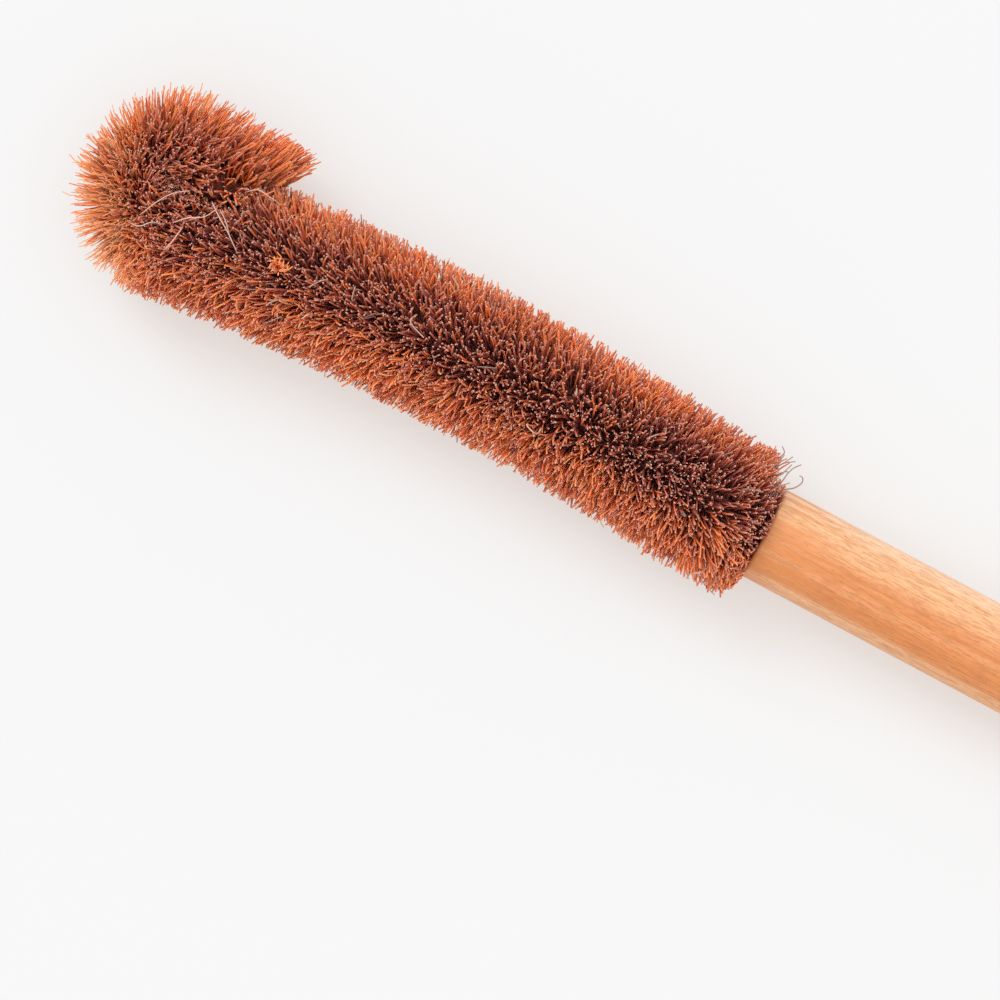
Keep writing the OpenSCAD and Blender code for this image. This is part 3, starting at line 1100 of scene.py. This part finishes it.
class BRUSH_OT_tuft(bpy.types.Operator):
    """Adds the small bright tuft that stands out of the shaft near the hook"""

    bl_idname = "brush.tuft"
    bl_label = "Add the bright tuft"

    def execute(self, context):
        coir = context.scene.brush_coir
        chance = random.Random(11)
        lines = []
        for _ in range(TUFT_FIBRES):
            turn = chance.uniform(0, 2 * math.pi)
            out = Vector((math.cos(turn), math.sin(turn), 0))
            foot = TUFT_MIDDLE + out * chance.uniform(0.0, 0.0012)
            reach = chance.uniform(0.0009, 0.002)
            bend = Vector((-out.y, out.x, 0)) * chance.uniform(-0.0004, 0.0018)
            top = foot + out * reach * 0.6 + Vector((0, 0, chance.uniform(0.001, 0.003)))
            knots = [foot, (foot + top) / 2 + bend, top, top + out * reach * 0.5 + bend]
            points = smooth_line(knots, 3)
            radii = [coir.thickness * (0.8 - 0.35 * i / len(points)) for i in range(len(points))]
            lines.append((points, radii))
        mesh = tube_mesh("bright_tuft", lines, 4)
        each = len(mesh.vertices) // len(lines)
        tones = [chance.uniform(0.5, 0.85) for _ in lines]
        give_points(mesh, "tone", [tone for tone in tones for _ in range(each)])
        heights = [0.7 + 0.28 * (i % each) / each for i in range(len(mesh.vertices))]
        give_points(mesh, "along", heights)
        add_coir("bright_tuft", mesh, bpy.data.materials["coir_fibre"])
        return {"FINISHED"}


def smooth_line(knots, steps):
    """A smooth line through points, with a number of steps between each two."""
    padded = [knots[0] * 2 - knots[1], *knots, knots[-1] * 2 - knots[-2]]
    line = []
    for a, b, c, d in zip(padded, padded[1:], padded[2:], padded[3:]):
        for i in range(steps):
            t = i / steps
            line.append(
                b
                + (c - a) * (t / 2)
                + (a * 2 - b * 5 + c * 4 - d) * (t * t / 2)
                + (b * 3 - a - c * 3 + d) * (t * t * t / 2)
            )
    line.append(knots[-1])
    return line


class BRUSH_OT_finishes(bpy.types.Operator):
    """Gives the handle its wood and the wire its zinc"""

    bl_idname = "brush.finishes"
    bl_label = "Finish the wood and wire"

    def execute(self, context):
        for node, material in (
            ("handle", wood_material(context.scene.brush_wood)),
            ("wire", wire_material()),
        ):
            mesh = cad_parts[node].data
            mesh.materials.clear()
            mesh.materials.append(material)
        return {"FINISHED"}


# The picture: the middle of it, its turn, and its width at the height of the wire
PICTURE_MIDDLE = Vector((-0.13585, -0.02365, 0.0))
PICTURE_TURN = math.radians(28.1)
PICTURE_WIDTH = 0.2474
SENSOR_WIDTH = 36

# The table's reach to each side, and the lamp's place from the middle of the picture
TABLE_REACH = 2.0
LAMP_PLACE = Vector((-0.75, 0.4, 0.9))
LAMP_SPREAD = math.radians(30)


class BRUSH_OT_stage(bpy.types.Operator):
    """Sets the table, the light and the camera"""

    bl_idname = "brush.stage"
    bl_label = "Set the stage"

    def execute(self, context):
        scene = context.scene
        stage = scene.brush_stage
        mesh = bpy.data.meshes.new("table_top")
        corners = [(-1, -1), (1, -1), (1, 1), (-1, 1)]
        points = [(x * TABLE_REACH, y * TABLE_REACH, TABLE_HEIGHT) for x, y in corners]
        mesh.from_pydata(points, [], [(0, 1, 2, 3)])
        mesh.materials.append(table_material(stage))
        table = bpy.data.objects.new("table_top", mesh)
        scene.collection.objects.link(table)

        scene.world = room(stage)

        lamp = bpy.data.lights.new("soft_lamp", "SUN")
        lamp.angle = LAMP_SPREAD
        lamp.energy = stage.lamp
        holder = bpy.data.objects.new("soft_lamp", lamp)
        scene.collection.objects.link(holder)
        holder.location = PICTURE_MIDDLE + LAMP_PLACE
        towards = PICTURE_MIDDLE - holder.location
        holder.rotation_euler = towards.to_track_quat("-Z", "Y").to_euler()

        camera = bpy.data.cameras.new("camera")
        camera.sensor_width = SENSOR_WIDTH
        camera.lens = SENSOR_WIDTH * stage.distance / PICTURE_WIDTH
        viewer = bpy.data.objects.new("camera", camera)
        scene.collection.objects.link(viewer)
        viewer.location = PICTURE_MIDDLE + Vector((0, 0, stage.distance))
        viewer.rotation_euler = (0, 0, PICTURE_TURN)
        scene.camera = viewer
        scene.view_settings.view_transform = "Standard"
        return {"FINISHED"}


OPERATORS = (
    BRUSH_OT_fibres,
    BRUSH_OT_strays,
    BRUSH_OT_core,
    BRUSH_OT_wisps,
    BRUSH_OT_tuft,
    BRUSH_OT_finishes,
    BRUSH_OT_stage,
)


class BRUSH_PT_panel(bpy.types.Panel):
    """The brush's sizes, colours and steps"""

    bl_idname = "BRUSH_PT_panel"
    bl_label = "Coir Bottle Brush"
    bl_space_type = "VIEW_3D"
    bl_region_type = "UI"
    bl_category = "Brush"

    def draw(self, context):
        layout = self.layout
        for operator in OPERATORS:
            layout.operator(operator.bl_idname)
        for group in SETTINGS:
            settings = getattr(context.scene, group)
            box = layout.box()
            for name in settings.bl_rna.properties.keys():
                if name not in ("rna_type", "name"):
                    box.prop(settings, name)


SETTINGS = {
    "brush_route": WireRoute,
    "brush_coir": CoirFibres,
    "brush_wood": HandleWood,
    "brush_stage": TableAndLight,
}
CLASSES = (*SETTINGS.values(), *OPERATORS, BRUSH_PT_panel)


def register():
    """Adds the settings, steps and panel."""
    for item in CLASSES:
        bpy.utils.register_class(item)
    for name, kind in SETTINGS.items():
        setattr(bpy.types.Scene, name, PointerProperty(type=kind))


def unregister():
    """Takes them away again."""
    for name in SETTINGS:
        delattr(bpy.types.Scene, name)
    for item in reversed(CLASSES):
        bpy.utils.unregister_class(item)


def main():
    """Dresses the brush."""
    register()
    for operator in OPERATORS:
        group, name = operator.bl_idname.split(".")
        getattr(getattr(bpy.ops, group), name)()


if __name__ == "__main__":
    main()
